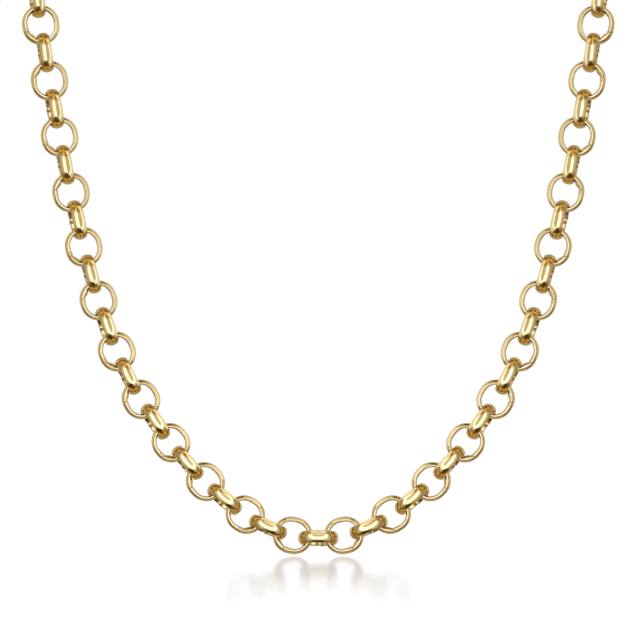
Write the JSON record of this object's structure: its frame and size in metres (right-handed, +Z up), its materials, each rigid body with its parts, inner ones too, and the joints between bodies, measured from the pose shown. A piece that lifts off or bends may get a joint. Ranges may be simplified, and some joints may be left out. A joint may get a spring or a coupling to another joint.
{
  "type": "rolo chain necklace",
  "caption": "Necklace of short domed gold links that interlock face-on and edge-on by turns, in its worn form, closed at the nape by a plain spring ring clasp.",
  "frame": {"origin": "the point at the nape where the inner face of the closed clasp rests on the neck", "axes": "+Z up, -Y towards the front of the wearer, where the links hang lowest, +X to the right of a viewer who faces the wearer"},
  "size_m": [0.1066, 0.0858, 0.1392],
  "materials": {
    "links": "polished yellow gold plating",
    "clasp": "polished yellow gold plating"
  },
  "bodies": {
    "root": {"chain_left": "links", "chain_right": "links", "clasp": "clasp"}
  },
  "joints": []
}
